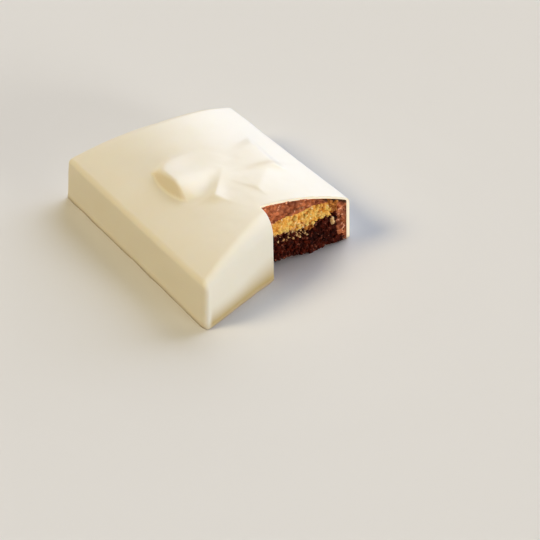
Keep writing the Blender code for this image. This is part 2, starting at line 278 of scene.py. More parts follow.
# ---------------------------------------------------------------- grids and meshes
def steps(*parts):
    """Positions from 0 to 1: each part is (where it ends, how many steps it takes)."""
    at, out = 0.0, [0.0]
    for end, count in parts:
        out.extend(np.linspace(at, end, count + 1)[1:])
        at = end
    return np.array(out)


def plan_grid(inset, left, right, front_rows, back_rows):
    """Plan of the body without the cut corner, as one grid of rows and columns.

    Columns run from the left side to the short cut's line and on to the right side; rows run from the
    front line to the long cut's line and on to the back. The rows in front have no right-hand columns.
    A few rounds settle where each row meets the short cut's line. It also says which column and which row
    lie on the cut's lines.
    """
    half = HALF_WIDTH - inset
    to_cut = np.concatenate([front_rows, np.ones(len(back_rows) - 1)])[:, None]
    past_cut = np.concatenate([np.zeros(len(front_rows)), back_rows[1:]])[:, None]
    seam = np.full(to_cut.shape, CUT_CORNER[0])
    for _ in range(4):
        front, _ = ends(seam, inset)
        line = CUT_CORNER[1] + (seam - CUT_CORNER[0]) * CUT_SLOPE
        seam_y = front + to_cut * (line - front)
        seam = np.where(to_cut < 1, CUT_CORNER[0] + (CUT_CORNER[1] - seam_y) * CUT_SLOPE, CUT_CORNER[0])
    x = np.concatenate([-half + left * (seam + half), seam + right[1:] * (half - seam)], 1)
    front, back = ends(x, inset)
    line = CUT_CORNER[1] + (x - CUT_CORNER[0]) * CUT_SLOPE
    y = np.where(past_cut > 0, line + past_cut * (back - line), front + to_cut * (line - front))
    return press_corners(x, y, inset) + (len(left) - 1, len(front_rows) - 1)


def body_faces(rows, columns, cut_column, cut_row):
    """Quads of the notched grid, facing up."""
    index = np.arange(rows * columns).reshape(rows, columns)
    quads = np.stack([index[:-1, :-1], index[:-1, 1:], index[1:, 1:], index[1:, :-1]], -1)
    row, column = np.meshgrid(np.arange(rows - 1), np.arange(columns - 1), indexing="ij")
    return quads[(row >= cut_row) | (column < cut_column)]


def round_trip(rows, columns, cut_column, cut_row):
    """Grid indices once round the plan, anticlockwise, from the front end of the short cut face.

    Also how many of them, from the start, lie on the two cut faces.
    """
    index = np.arange(rows * columns).reshape(rows, columns)
    cut = np.concatenate([index[:cut_row, cut_column], index[cut_row, cut_column:]])
    right_and_back = np.concatenate([index[cut_row + 1:, -1], index[-1, -2::-1]])
    left_and_front = np.concatenate([index[-2::-1, 0], index[0, 1:cut_column]])
    return np.concatenate([cut, right_and_back, left_and_front]), len(cut)


def closed_strip(index):
    """Quads between the rows of a grid of indices whose last column joins the first."""
    following = np.roll(index, -1, axis=1)
    return np.stack([index[:-1], following[:-1], following[1:], index[1:]], -1).reshape(-1, 4)


def add_mesh(name, points, faces, material, **values):
    """A mesh object from an array of points and one of faces; values are named numbers for each point."""
    points, faces = np.asarray(points, np.float32), np.asarray(faces, np.int64)
    used = np.zeros(len(points), bool)
    used[faces] = True
    faces = (np.cumsum(used) - 1)[faces]
    points = points[used]
    mesh = bpy.data.meshes.new(name)
    mesh.vertices.add(len(points))
    mesh.vertices.foreach_set("co", points.ravel())
    mesh.loops.add(faces.size)
    mesh.loops.foreach_set("vertex_index", faces.ravel().astype(np.int32))
    mesh.polygons.add(len(faces))
    mesh.polygons.foreach_set("loop_start", np.arange(0, faces.size, faces.shape[1], dtype=np.int32))
    mesh.polygons.foreach_set("use_smooth", np.full(len(faces), True))
    mesh.update(calc_edges=True)
    mesh.validate()
    for label, numbers in values.items():
        mesh.attributes.new(label, "FLOAT", "POINT").data.foreach_set("value", np.float32(numbers[used]))
    mesh.materials.append(material)
    obj = bpy.data.objects.new(name, mesh)
    bpy.context.scene.collection.objects.link(obj)
    return obj


# ---------------------------------------------------------------- places on the two cut faces
def cut_place(x, y):
    """A plan point in the knife's frame: along the long cut face, and towards the front."""
    dx, dy = x - CUT_CORNER[0], y - CUT_CORNER[1]
    return dx * ALONG[0] + dy * ALONG[1], dx * TO_FRONT[0] + dy * TO_FRONT[1]


def where_on_cut(run):
    """Plan point of a spot on the cut faces.

    run is 0 at the corner, positive along the long face and negative along the short one.
    """
    ahead, aside = np.maximum(run, 0), np.maximum(-run, 0)
    return (CUT_CORNER[0] + ahead * ALONG[0] + aside * TO_FRONT[0],
            CUT_CORNER[1] + ahead * ALONG[1] + aside * TO_FRONT[1])


def inward(run):
    """Plan direction into the body at a spot on the cut faces, turning smoothly round the corner."""
    turn = ease(run, -CORNER_TURN, CORNER_TURN)[:, None]
    return -(ALONG * (1 - turn) + TO_FRONT * turn)


def on_face(run, z, push):
    """World points on the cut faces, push metres into the body."""
    plan = np.stack(where_on_cut(run), -1) + inward(run) * push[:, None]
    return lean(np.concatenate([plan, z[:, None]], 1))


# ---------------------------------------------------------------- the coat
def coat_height(x, y, inset):
    """The coat's top with its slow waves, and its rim at the cut turned down by the knife."""
    wave = waves(x, y, (TOP_WAVE_LENGTH, TOP_WAVE_LENGTH), seed=71, shift=(9, 4))
    p, q = cut_place(x, y)
    near = np.hypot(np.minimum(p, 0), np.minimum(q, 0))
    return top_height(x, y, inset) + TOP_WAVE * wave - RIM_DROP * np.clip(1 - near / RIM_REACH, 0, 1) ** 2


def coat_wall(start, foot_out):
    """The coat's wall, from the points of its top edge down to a wavy hem, with slow waves of its own.

    A slight foot stands out at the hem. Waves and foot die out at the cut and at the top edge.
    """
    run = np.concatenate([[0], np.cumsum(np.linalg.norm(np.diff(start[:, :2], axis=0), axis=1))])
    hem = HEM + HEM_WAVE * (1 + noise(run / HEM_WAVE_LENGTH, np.full(run.shape, 3.0), seed=5))
    level = np.linspace(0, 1, WALL_STEPS + 1)[1:, None]
    down = np.repeat(start[None], WALL_STEPS, axis=0)
    down[..., 2] = start[:, 2] + (hem - start[:, 2]) * level
    along = np.gradient(start[:, :2], axis=0)
    out = np.stack([along[:, 1], -along[:, 0]], -1)
    out /= np.maximum(np.linalg.norm(out, axis=1, keepdims=True), 1e-9)
    size = (WALL_WAVE_LENGTH, WALL_WAVE_LENGTH)
    wave = WALL_WAVE * waves(np.broadcast_to(run, down.shape[:2]), down[..., 2], size, seed=83, octaves=2)
    foot = foot_out * mound(down[..., 2], FOOT_AT, FOOT_REACH)
    fade = ease(np.minimum(run, run[-1] - run), 0, 0.006) * ease(level, 0, 0.25)
    down[..., :2] += out * ((wave + foot) * fade)[..., None]
    return down


def coat_painted_shade(points):
    """How much painted shade darkens the coat towards tan, 0 to 1.

    It is a low band on the sides and a tall one on the front wall, painted shade towards the hem; a third on
    the bow's steep outer end, painted shade; and faint beside two of the bow's banks, painted shade by the
    right loop and a painted shadow by the left tail.
    """
    x, y, z = points.T
    front = ease(y, -0.0630, -0.0660) * ease(np.abs(x), 0.0645, 0.0605)
    front_shade = FRONT_SHADE_LEFT + (FRONT_SHADE_RIGHT - FRONT_SHADE_LEFT) * ease(x, -0.045, 0.0)
    tall = SIDE_SHADE + front * (front_shade - SIDE_SHADE)
    # painted shade: darker and warmer towards the hem, tallest on the front wall
    band = np.clip(1 - (z - HEM) / tall, 0, 1) ** 1.5 * (0.55 + 0.75 * front)
    # painted shade on the bow's steep outer end and the right loop's front bank, a painted shadow in front of
    # the left tail
    steep = 0.34 * ease(x + 0.04 * y, -0.0334, -0.0350) * ease(bow(x, y), 0.0003, 0.0015)
    loop_bank = 0.34 * mound(x, 0.0310, 0.0120) * mound(y, -0.0072, 0.0030)
    tail_bank = 0.12 * mound(x, -0.0206, 0.0052) * mound(y, -0.0270, 0.0042)
    return np.minimum(band + steep + loop_bank + tail_bank, 1.0)


def coat(material):
    """The glaze: an outer and an inner skin over the notched plan, joined round hem and cut by a rounded rim.

    The grid is finest over the bow and at the edges.
    """
    left = steps((.004, 2), (.02, 4), (.05, 5), (.10, 6), (.38, 12), (.985, 62), (.996, 3), (1, 3))
    right = steps((.62, 64), (.90, 14), (.95, 6), (.98, 5), (.996, 4), (1, 2))
    front_rows = steps((.01, 2), (.06, 5), (.30, 12), (1, 22))
    back_rows = steps((.0035, 3), (.012, 3), (.06, 8), (.64, 114), (.90, 18), (.96, 10), (.985, 7),
                      (.997, 5), (1, 2))
    points, faces, edges, count = [], [], [], 0
    for inset, foot_out in ((0.0, FOOT_OUT), (GLAZE, 0.0)):
        x, y, cut_column, cut_row = plan_grid(inset, left, right, front_rows, back_rows)
        ring, on_cut = round_trip(*x.shape, cut_column, cut_row)
        wall = np.concatenate([ring[on_cut - 1:], ring[:1]])      # from the cut's far end round to its start
        top = np.stack([x, y, coat_height(x, y, inset)], -1).reshape(-1, 3)
        down = coat_wall(top[wall], foot_out).reshape(-1, 3)
        index = np.concatenate([wall, len(top) + np.arange(len(down))]).reshape(-1, len(wall))
        strip = np.stack([index[1:, :-1], index[1:, 1:], index[:-1, 1:], index[:-1, :-1]], -1).reshape(-1, 4)
        quads = np.concatenate([body_faces(*x.shape, cut_column, cut_row), strip])
        faces.append(count + (quads if inset == 0 else quads[:, ::-1]))
        points += [lean(top), lean(down)]
        # the skin's open edge: along the cut's top, down, back along the hem and up
        edges.append(count + np.concatenate([ring[:on_cut], index[1:, 0], index[-1, 1:], index[-2:0:-1, -1]]))
        count += len(top) + len(down)
    skins = np.concatenate(points)
    outer, inner = skins[edges[0]], skins[edges[1]]
    rim = [edges[0]]
    for share in RIM_SHARES:
        points.append(outer * (1 - share) + inner * share)
        rim.append(count + np.arange(len(outer)))
        count += len(outer)
    rim = np.stack(rim + [edges[1]])
    faces.append(closed_strip(rim)[:, [0, 3, 2, 1]])      # turned over, to face outwards
    points = np.concatenate(points)
    # painted light on the cut rim: full across it, 0.3 on its outer edge
    painted_rim_light = np.zeros(len(points))
    painted_rim_light[rim[0]], painted_rim_light[rim[1:]] = 0.3, 1.0
    # the hem mask is painted shade, the rim mask painted light
    return add_mesh("glaze_coat", points, np.concatenate(faces), material, hem=coat_painted_shade(points), rim=painted_rim_light)


# ---------------------------------------------------------------- layers with torn cut faces
def brownie_top(x, y):
    """Level in the middle, rising towards the sides, with the unevenness of spread crumb."""
    uneven = 0.0007 * waves(x, y, (0.0050, 0.0050), seed=611, shift=(3, 8))
    return BROWNIE_TOP + BROWNIE_RISE * ease(np.abs(x), 0.034, 0.050) + uneven


def insert_top(x, y):
    """Sags in the middle, rises towards the sides and drops again at its own edge, unevenly."""
    out = np.abs(x)
    rise = INSERT_RISE * ease(out, 0.020, 0.042)
    sag = INSERT_SAG * ease(out, 0.018, 0.006) + INSERT_DROP * ease(out, 0.046, 0.054)
    return INSERT_TOP + rise - sag + 0.0005 * waves(x, y, (0.0045, 0.0045), seed=617, shift=(5, 2))


def brownie_end(z):
    """Where the brownie stops on the long cut face: ragged, and spreading towards the wall at its foot."""
    lower = BROWNIE_SPREAD * ease(z, 0.0190, 0.0150) + BROWNIE_TOE * ease(z, 0.0075, 0.0015)
    return BROWNIE_STOP + lower + 0.0009 * waves(z, z, (0.0024, 0.05), seed=607, shift=(2, 0))


def layer(name, inset, floor, ceiling, torn, material, stain=None):
    """A closed solid over the notched plan, between floor(x, y) and ceiling(x, y).

    Its wall is one strip round the plan. On the two cut faces each wall point is pushed into the body by
    torn(run, z); the shade function, where one is given, says how much painted shade darkens it at (run, z).
    """
    half = HALF_WIDTH - inset
    front, _ = ends(CUT_CORNER[:1], inset)
    left = steps((.03, 3), (.10, 5), (.9, 16), (1, 3))
    right = np.linspace(0, 1, int(half / PITCH))
    front_rows = np.linspace(0, 1, max(int((CUT_CORNER[1] - front[0]) / PITCH), 8))
    back_rows = steps((.02, 1), (.9, 14), (.97, 5), (1, 3))
    x, y, cut_column, cut_row = plan_grid(inset, left, right, front_rows, back_rows)
    top = np.stack([x, y, ceiling(x, y)], -1).reshape(-1, 3)
    base = np.stack([x, y, floor(x, y)], -1).reshape(-1, 3)
    ring, on_cut = round_trip(*x.shape, cut_column, cut_row)
    at_cut = np.arange(len(ring)) < on_cut
    p, q = cut_place(top[ring, 0], top[ring, 1])
    run = np.where(np.arange(len(ring)) < cut_row, -q, p)
    tall = np.max(top[ring[:on_cut], 2] - base[ring[:on_cut], 2])
    level = np.linspace(0, 1, max(int(tall / PITCH), 6) + 1)[:, None]
    z = base[ring, 2] * (1 - level) + top[ring, 2] * level
    along = np.broadcast_to(run, z.shape)
    far = run[on_cut - 1]
    fade = ease(run, run[0], run[0] + TEAR_FADE) * ease(run, far, far - TEAR_FADE)
    push = np.where(at_cut, torn(along, z) * fade, 0.0)
    into = inward(run)
    into /= np.linalg.norm(into, axis=1, keepdims=True)
    wall = np.concatenate([top[ring, :2] + into * push[..., None], z[..., None]], -1)
    top[ring], base[ring] = wall[-1], wall[0]
    grid = body_faces(*x.shape, cut_column, cut_row)
    n = len(top)
    index = 2 * n + np.arange(z.size).reshape(z.shape)
    index[-1], index[0] = ring, n + ring
    faces = np.concatenate([grid, grid[:, ::-1] + n, closed_strip(index)])
    points = lean(np.concatenate([top, base, wall.reshape(-1, 3)]))
    # painted shade on the cut faces, from the shade function where one is given
    dark = np.zeros(len(points))
    if stain:
        dark[index] = np.where(at_cut, stain(along, z), 0.0)
    return add_mesh(name, points, faces, material, stain=dark)


def inner_ceiling(run, z):
    """Top of what the mousse lies on at the cut, as seen at height z: insert, brownie or floor."""
    x, y = where_on_cut(run)
    front, _ = ends(x, 0.0)
    margin = np.where(run < 0, y - front, HALF_WIDTH - x)
    brownie = (margin > BROWNIE_MARGIN) & (run < brownie_end(z))
    return np.where(margin > INSERT_MARGIN, insert_top(x, y), np.where(brownie, brownie_top(x, y), -1.0))


def mousse_tear(run, z):
    """Torn mousse: scallops and pits, standing back behind the layers and under the coat's right end."""
    scallops = 0.0008 * waves(run, z, (0.0060, 0.0036), seed=211)
    scallops += 0.0006 * (0.5 - lumps(run, z, (0.0042, 0.0026), seed=229, shift=(3, 0)))
    pits = 0.0012 * smooth(waves(run, z, (0.0034, 0.0022), seed=233, octaves=2, shift=(9, 0)) * 2.2 - 1.0)
    fine = 0.00014 * waves(run, z, (0.0012, 0.0010), seed=223, octaves=2)
    under_coat = top_height(*where_on_cut(run), COAT_UNDER) - z
    shrunk = ease(run, 0.030, 0.046) * ease(under_coat, 0.00156, 0.00036)
    behind = ease(inner_ceiling(run, z) - z, -0.0002, 0.0002)
    return scallops + pits + fine + MOUSSE_BACK * (shrunk + behind)


def mousse_stain(run, z):
    """Painted shade on the mousse: under the coat's right end, down the wall beside the coat, and in two
    folds.
    """
    x, y = where_on_cut(run)
    under = ease(top_height(x, y, COAT_UNDER) - z, 0.0036, 0.0020) * ease(run, 0.043, 0.049)
    wall = 0.6 * ease(HALF_WIDTH - COAT_UNDER - x, 0.00098, 0.00028)
    folds = [0.75 * mound(run, at, reach) * mound(z - 0.06 * (run - at), level, 0.0011)
             for at, level, reach in ((0.0285, 0.0357, 0.0050), (0.0212, 0.0336, 0.0030))]
    return np.clip(np.maximum(under, wall) + sum(folds), 0.0, 1.0)


def crunch_tear(run, z):
    """Broken crunchy layer: flaky lumps with creases between them, standing a little proud."""
    broad = 0.0006 * waves(run, z, (0.0060, 0.0035), seed=311)
    bent = run + 0.00108 * noise(z / 0.003, run / 0.004, seed=7)
    flakes = 0.0009 * (0.6 - lumps(bent, z, (0.0027, 0.0019), seed=317))
    fine = 0.00022 * waves(run, z, (0.0009, 0.0008), seed=331, octaves=2)
    return broad + flakes + fine - CRUNCH_PROUD


def brownie_tear(run, z):
    """Broken crumb: round lumps of two sizes with dark creases, bulging at the foot, gone past its end."""
    broad = 0.0008 * waves(run, z, (0.0070, 0.0055), seed=411)
    crumb_large = 0.0011 * (0.6 - lumps(run, z, (0.0036, 0.0027), seed=419))
    crumb_small = 0.0005 * (0.5 - lumps(run, z, (0.0014, 0.0012), seed=421))
    bulge = 0.0018 * mound(run, 0.036, 0.012) * ease(z, 0.012, 0.0) + 0.0002
    gone = 0.0035 * ease(run - brownie_end(z), 0.0, 0.0006)
    return broad + crumb_large + crumb_small - bulge + gone


# ---------------------------------------------------------------- loose-looking bits on the cut
def pebbles(name, centres, sizes, seed, material, upright=0):
    """Irregular nuggets: spheres whose radius swells with a few seeded waves, stretched and turned, one mesh.

    The last few, upright many, are smooth standing ovals. Poles and seams are closed: each pole is one
    vertex, and the last column joins the first.
    """
    around, up = 12, 8
    rough, nearly_smooth, oval = 0.13, 0.03, (0.72, 0.6, 1.0)
    rng = np.random.default_rng(seed)
    n = len(centres)
    lat = np.linspace(-np.pi / 2, np.pi / 2, up + 1)[1:-1]
    lon = np.linspace(0, 2 * np.pi, around, endpoint=False)
    lat, lon = np.meshgrid(lat, lon, indexing="ij")
    ray = np.stack([np.cos(lat) * np.cos(lon), np.cos(lat) * np.sin(lon), np.sin(lat)], -1).reshape(-1, 3)
    ray = np.concatenate([ray, [[0, 0, -1], [0, 0, 1]]])
    swell = np.ones((n, len(ray)))
    strength = np.where(np.arange(n) < n - upright, rough, nearly_smooth)[:, None]
    for k in range(5):
        axis = rng.normal(size=(n, 3))
        swell += strength * np.sin((2.0 + k) * axis @ ray.T / 1.4 + rng.uniform(0, 6.3, (n, 1)))
    basis = np.linalg.qr(rng.normal(size=(n, 3, 3)))[0]
    stretch = rng.uniform(0.65, 1.25, (n, 1, 3))
    basis[n - upright:], stretch[n - upright:] = np.eye(3), oval
    shape = ray * swell[..., None] * stretch
    points = centres[:, None] + np.einsum("nij,nkj->nki", basis, shape) * sizes[:, None, None]
    points[..., 2] = np.maximum(points[..., 2], 2 * TOUCH)
    body = np.arange((up - 1) * around).reshape(up - 1, around)
    quads = closed_strip(body)
    south, north = (up - 1) * around, (up - 1) * around + 1
    caps = np.concatenate([
        np.stack([np.full(around, south), np.roll(body[0], -1), body[0]], -1),
        np.stack([np.full(around, north), body[-1], np.roll(body[-1], -1)], -1)])
    one = np.concatenate([quads[:, [0, 1, 2]], quads[:, [0, 2, 3]], caps])
    faces = one + (np.arange(n) * len(ray))[:, None, None]
    mirrored = np.linalg.det(basis) < 0
    faces[mirrored] = faces[mirrored][..., ::-1]
    return add_mesh(name, points.reshape(-1, 3), faces.reshape(-1, 3), material)


def strewn(seed, count, run_range, low, high, tear, depth):
    """Seeded spots on a cut face between two heights that follow the run."""
    rng = np.random.default_rng(seed)
    run = rng.uniform(*run_range, count)
    z = low(run) + (high(run) - low(run)) * rng.uniform(0, 1, count)
    push = tear(run, z) + rng.uniform(*depth, count)
    return on_face(run, z, push), rng


def placed(*spots):
    """Spots given on the cut faces, each one run, height and depth."""
    return on_face(*np.array(spots).T)


def brownie_line(run):
    """Height of the brownie's top along the cut."""
    return brownie_top(*where_on_cut(run))


def insert_line(run):
    """Height of the golden layer's top along the cut."""
    return insert_top(*where_on_cut(run))


# ---------------------------------------------------------------- shader nodes
def new_group(name, inputs, outputs):
    """An empty shader node group with named float or colour sockets."""
    group = bpy.data.node_groups.new(name, "ShaderNodeTree")
    for label, kind, value in inputs:
        socket = group.interface.new_socket(label, in_out="INPUT", socket_type=kind)
        socket.default_value = value
    for label, kind in outputs:
        group.interface.new_socket(label, in_out="OUTPUT", socket_type=kind)
    return group, group.nodes.new("NodeGroupInput"), group.nodes.new("NodeGroupOutput")


def connect(tree, socket, value):
    """Puts a link, a number or a colour into a socket."""
    if hasattr(value, "links"):
        tree.links.new(value, socket)
    else:
        socket.default_value = (*value, 1.0) if isinstance(value, tuple) else value


def math_node(tree, operation, a, b, clamp=False):
    """One step of arithmetic on two values."""
    node = tree.nodes.new("ShaderNodeMath")
    node.operation, node.use_clamp = operation, clamp
    connect(tree, node.inputs[0], a)
    connect(tree, node.inputs[1], b)
    return node.outputs[0]


def colour_mix(tree, factor, a, b):
    """Colour a at factor 0, colour b at factor 1."""
    node = tree.nodes.new("ShaderNodeMix")
    node.data_type = "RGBA"
    for socket, value in ((node.inputs[0], factor), (node.inputs[6], a), (node.inputs[7], b)):
        connect(tree, socket, value)
    return node.outputs[2]


def ramp(tree, value, low, high):
    """0 below low, 1 above high, smooth in between."""
    node = tree.nodes.new("ShaderNodeMapRange")
    node.interpolation_type = "SMOOTHSTEP"
    for socket, number in zip(node.inputs, (value, low, high)):
        connect(tree, socket, number)
    return node.outputs[0]


def use(tree, group, **values):
    """A node group put to use with these values."""
    node = tree.nodes.new("ShaderNodeGroup")
    node.node_tree = group
    for label, value in values.items():
        node.inputs[label].default_value = value
    return node


def bump(tree, shader, height, distance, strength):
    """Fine relief from a height, distance deep."""
    node = tree.nodes.new("ShaderNodeBump")
    node.inputs["Distance"].default_value = distance
    node.inputs["Strength"].default_value = strength
    tree.links.new(height, node.inputs["Height"])
    tree.links.new(node.outputs[0], shader.inputs["Normal"])


def attribute(tree, name):
    """The piece's own number of this name."""
    node = tree.nodes.new("ShaderNodeAttribute")
    node.attribute_name = name
    return node.outputs["Fac"]


def new_material(name, roughness, specular):
    """A plain surface with this roughness and shine."""
    material = bpy.data.materials.new(name)
    material.use_nodes = True
    shader = material.node_tree.nodes["Principled BSDF"]
    shader.inputs["Roughness"].default_value = roughness
    shader.inputs["Specular IOR Level"].default_value = specular
    return material, material.node_tree, shader


def mottle_group():
    """Soft patches: noise in object space, from 0 to 1."""
    sockets = [("Size", "NodeSocketFloat", 0.01), ("Contrast", "NodeSocketFloat", 1.0)]
    group, into, out = new_group("mottle", sockets, [("Mask", "NodeSocketFloat")])
    place = group.nodes.new("ShaderNodeTexCoord")
    pattern = group.nodes.new("ShaderNodeTexNoise")
    pattern.inputs["Detail"].default_value = 4.0
    group.links.new(place.outputs["Object"], pattern.inputs["Vector"])
    group.links.new(math_node(group, "DIVIDE", 1.0, into.outputs["Size"]), pattern.inputs["Scale"])
    centred = math_node(group, "SUBTRACT", pattern.outputs[0], 0.5)
    spread = math_node(group, "MULTIPLY", centred, into.outputs["Contrast"])
    group.links.new(math_node(group, "ADD", spread, 0.5, clamp=True), out.inputs["Mask"])
    return group


def crumb_group():
    """Crumb: rounded cells over fine noise; a height for bump and a mask that is 1 in the creases."""
    group, into, out = new_group("crumb", [("Size", "NodeSocketFloat", 0.001)],
                                 [("Height", "NodeSocketFloat"), ("Crease", "NodeSocketFloat")])
    place = group.nodes.new("ShaderNodeTexCoord")
    scale = math_node(group, "DIVIDE", 1.0, into.outputs["Size"])
    cells = group.nodes.new("ShaderNodeTexVoronoi")
    cells.feature = "F1"
    fine = group.nodes.new("ShaderNodeTexNoise")
    fine.inputs["Detail"].default_value = 6.0
    fine.inputs["Roughness"].default_value = 0.7
    for node in (cells, fine):
        group.links.new(place.outputs["Object"], node.inputs["Vector"])
        group.links.new(scale, node.inputs["Scale"])
    lump = math_node(group, "SUBTRACT", 1.0, cells.outputs["Distance"])
    height = math_node(group, "ADD", lump, fine.outputs[0])
    group.links.new(height, out.inputs["Height"])
    group.links.new(ramp(group, height, 1.15, 0.75), out.inputs["Crease"])
    return group


# ---------------------------------------------------------------- finishes
IVORY_LOW, IVORY_HIGH = (0.87, 0.81, 0.68), (0.89, 0.84, 0.73)
# painted shade: the tan the coat darkens to at its foot and by the bow
PAINTED_SHADE_TAN = (0.54, 0.40, 0.175)
RIM_PAINTED_LIGHT, RIM_PAINTED_GLOW = (0.97, 0.90, 0.74), (0.30, 0.22, 0.13)  # painted light: a brighter cream and a faint glow on the cut rim, where the coat is thin
# painted shade: the dark brown the mousse takes under the coat and in its folds
PAINTED_SHADE_BROWN = (0.085, 0.022, 0.005)


def coat_material(mottle):
    """Ivory satin coat: soft cream patches, a darker tan painted in as shade at its foot and by the bow, a
    brighter cream and a faint glow painted on the cut rim as light, a fine sprayed grain.
    """
    material, tree, shader = new_material("ivory_coat", 0.42, 0.35)
    patches = use(tree, mottle, Size=0.030, Contrast=1.6).outputs["Mask"]
    rim = attribute(tree, "rim")
    colour = colour_mix(tree, patches, IVORY_LOW, IVORY_HIGH)
    # painted shade from the hem mask
    colour = colour_mix(tree, attribute(tree, "hem"), colour, PAINTED_SHADE_TAN)
    # painted light: the cut rim gets a brighter cream and a faint glow
    tree.links.new(colour_mix(tree, rim, colour, RIM_PAINTED_LIGHT), shader.inputs["Base Color"])
    tree.links.new(colour_mix(tree, rim, (0.0, 0.0, 0.0), RIM_PAINTED_GLOW), shader.inputs["Emission Color"])
    shader.inputs["Emission Strength"].default_value = 1.0
    uneven = math_node(tree, "ADD", math_node(tree, "MULTIPLY", patches, 0.12), 0.36)
    tree.links.new(uneven, shader.inputs["Roughness"])
    grain = use(tree, mottle, Size=0.0006, Contrast=2.0).outputs["Mask"]
    bump(tree, shader, grain, 0.00004, 0.5)
    shader.inputs["Subsurface Weight"].default_value = 0.15
    shader.inputs["Subsurface Radius"].default_value = (1.0, 0.75, 0.45)
    shader.inputs["Subsurface Scale"].default_value = 0.003
    return material


def food_material(name, mottle, crumb, dark, light, hole, fleck_and_glint, grain, patch, roughness, relief, crease,
                  shine=0.22):
    """Cut food: two colours in patches with streaks, painted shade in its crumb's creases, pale flecks that
    are painted pinkish highlights on the mousse and the brownie, and painted shade from the piece's own mask.

    grain is the crumb's size, patch that of the patches, relief the bump's depth and crease how much
    painted shade the creases get.
    """
    material, tree, shader = new_material(name, roughness, shine)
    patches = use(tree, mottle, Size=patch, Contrast=3.2).outputs["Mask"]
    broad = use(tree, mottle, Size=patch * 2.3, Contrast=2.6).outputs["Mask"]
    streaks = math_node(tree, "MULTIPLY", ramp(tree, broad, 0.5, 0.1), 0.55)
    cells = use(tree, crumb, Size=grain)
    creases = math_node(tree, "MULTIPLY", cells.outputs["Crease"], crease)
    specks = use(tree, mottle, Size=grain * 1.1, Contrast=2.0).outputs["Mask"]
    colour = colour_mix(tree, patches, dark, light)
    colour = colour_mix(tree, streaks, colour, hole)
    # painted shade: the crumb's creases darken towards the dark colour
    colour = colour_mix(tree, creases, colour, hole)
    # pale flecks; on the mousse and the brownie they are painted pinkish highlights
    colour = colour_mix(tree, ramp(tree, specks, 0.70, 0.88), colour, fleck_and_glint)
    # painted shade: the piece's shade mask darkens it towards brown
    colour = colour_mix(tree, attribute(tree, "stain"), colour, PAINTED_SHADE_BROWN)
    tree.links.new(colour, shader.inputs["Base Color"])
    bump(tree, shader, cells.outputs["Height"], relief, 0.7)
    return material


mottle, crumb = mottle_group(), crumb_group()
ivory = coat_material(mottle)
# its flecks are painted pinkish highlights
mousse_look = food_material(
    "milk_chocolate_mousse", mottle, crumb, dark=(0.29, 0.063, 0.019), light=(0.81, 0.250, 0.092),
    hole=(0.13, 0.020, 0.009), fleck_and_glint=(0.96, 0.46, 0.27), grain=0.0026, patch=0.0046,
    roughness=0.55, relief=0.00012, crease=0.45)
crunch_look = food_material(
    "golden_crunch", mottle, crumb, dark=(1.0, 0.555, 0.095), light=(1.0, 0.76, 0.24),
    hole=(0.80, 0.30, 0.030), fleck_and_glint=(1.0, 0.88, 0.55), grain=0.0024, patch=0.0042,
    roughness=0.45, relief=0.00016, crease=0.50)
toasted_look = food_material(
    "toasted_crunch", mottle, crumb, dark=(0.40, 0.120, 0.016), light=(0.74, 0.29, 0.050),
    hole=(0.20, 0.048, 0.008), fleck_and_glint=(0.95, 0.55, 0.20), grain=0.0020, patch=0.0028,
    roughness=0.50, relief=0.00016, crease=0.5)
# its flecks are painted pinkish highlights
brownie_look = food_material(
    "brownie_crumb", mottle, crumb, dark=(0.040, 0.005, 0.002), light=(0.130, 0.015, 0.005),
    hole=(0.008, 0.001, 0.001), fleck_and_glint=(0.34, 0.115, 0.070), grain=0.0020, patch=0.0045,
    roughness=0.62, relief=0.00035, crease=0.7, shine=0.08)
nut_look = food_material(
    "pale_crunch", mottle, crumb, dark=(0.78, 0.40, 0.12), light=(1.0, 0.80, 0.46),
    hole=(0.50, 0.20, 0.05), fleck_and_glint=(1.0, 0.90, 0.66), grain=0.0016, patch=0.0025,
    roughness=0.45, relief=0.00012, crease=0.5)

# ---------------------------------------------------------------- pieces that take the solids' places
glaze_piece = coat(ivory)
# its cut face gets painted shade under the coat, beside the wall and in two folds
mousse_piece = layer("mousse_body", COAT_UNDER, lambda x, y: 0 * x,
                     lambda x, y: top_height(x, y, COAT_UNDER), mousse_tear, mousse_look, mousse_stain)
crunch_piece = layer("crunch_layer", INSERT_MARGIN, brownie_top, insert_top, crunch_tear, crunch_look)
brownie_piece = layer("brownie_layer", BROWNIE_MARGIN, lambda x, y: 0 * x + TOUCH, brownie_top,
                      brownie_tear, brownie_look)
for piece, node, slot in ((glaze_piece, "glaze", "glaze"),
                          (mousse_piece, "mousse", "mousse"),
                          (crunch_piece, "crunch_insert", "crunch"),
                          (brownie_piece, "brownie_base", "brownie")):
    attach(piece, "root")
    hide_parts(node)

# ---------------------------------------------------------------- loose bits
spots, rng = strewn(seed=501, count=260, run_range=(-0.002, 0.0508),
                    low=lambda run: brownie_line(run) + 0.0006, high=lambda run: insert_line(run) - 0.0009,
                    tear=crunch_tear, depth=(-0.0003, 0.0012))
sizes = rng.uniform(0.0007, 0.0018, len(spots))
nuggets = pebbles("crunch_nuggets", spots, sizes, 503, crunch_look)

